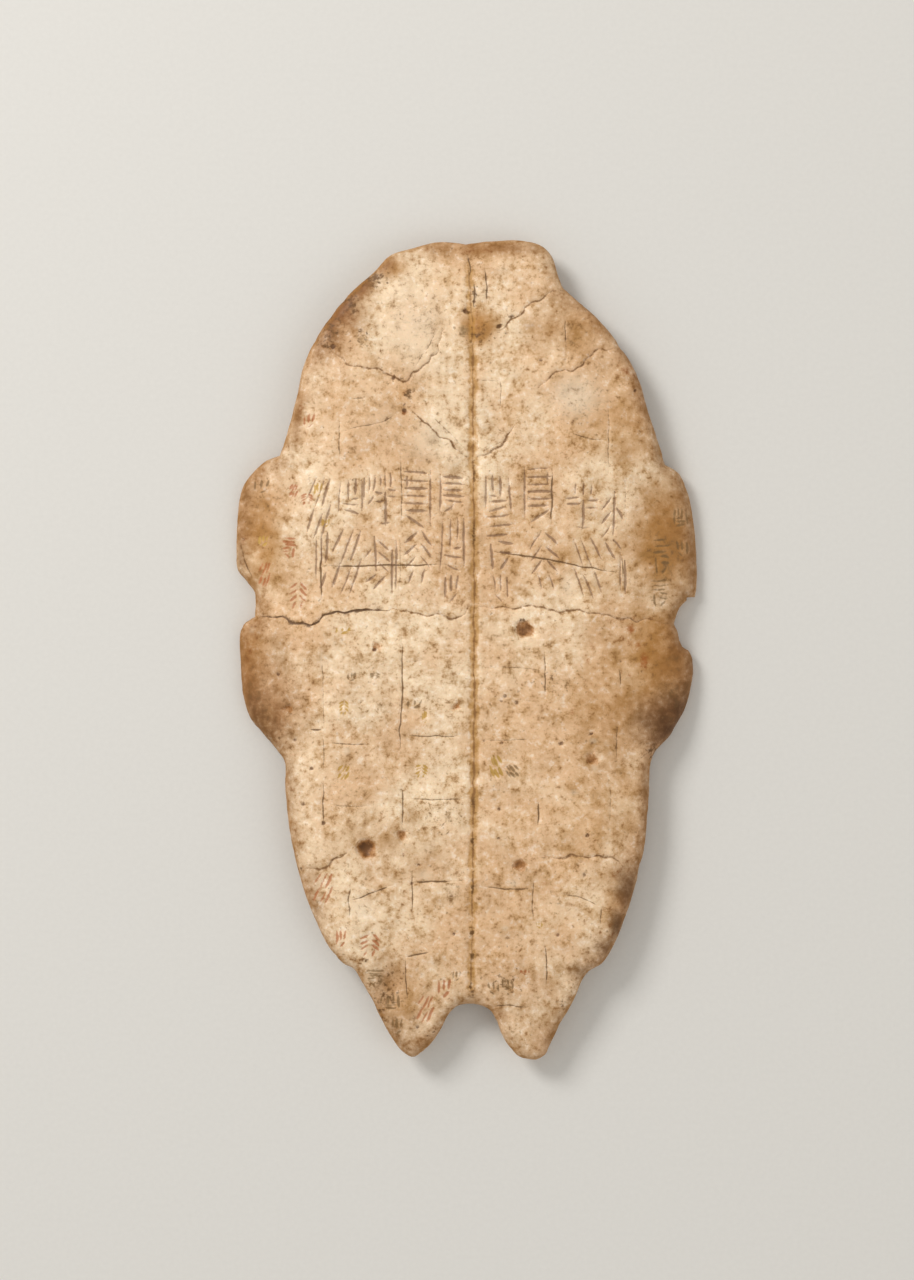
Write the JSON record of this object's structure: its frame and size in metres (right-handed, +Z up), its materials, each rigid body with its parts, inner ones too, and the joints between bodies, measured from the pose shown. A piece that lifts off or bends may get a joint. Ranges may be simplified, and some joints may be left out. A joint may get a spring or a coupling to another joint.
{
  "type": "turtle plastron oracle bone",
  "caption": "Flat turtle lower shell used for divination: notched oval bone plate with bridge wings, a forked tail, seams and rows of incised strokes; inner face has chiselled hollows.",
  "frame": {"origin": "on the table it lies on, under the middle of its outline", "axes": "+Y towards the head end, +Z up through the outer (inscribed) face, +X towards the right side as seen in the picture"},
  "size_m": [0.1186, 0.21, 0.012],
  "materials": {
    "bone": "dry aged bone, polished long ago, satin with matt breaks"
  },
  "bodies": {
    "root": {"plastron": "bone"}
  },
  "joints": []
}
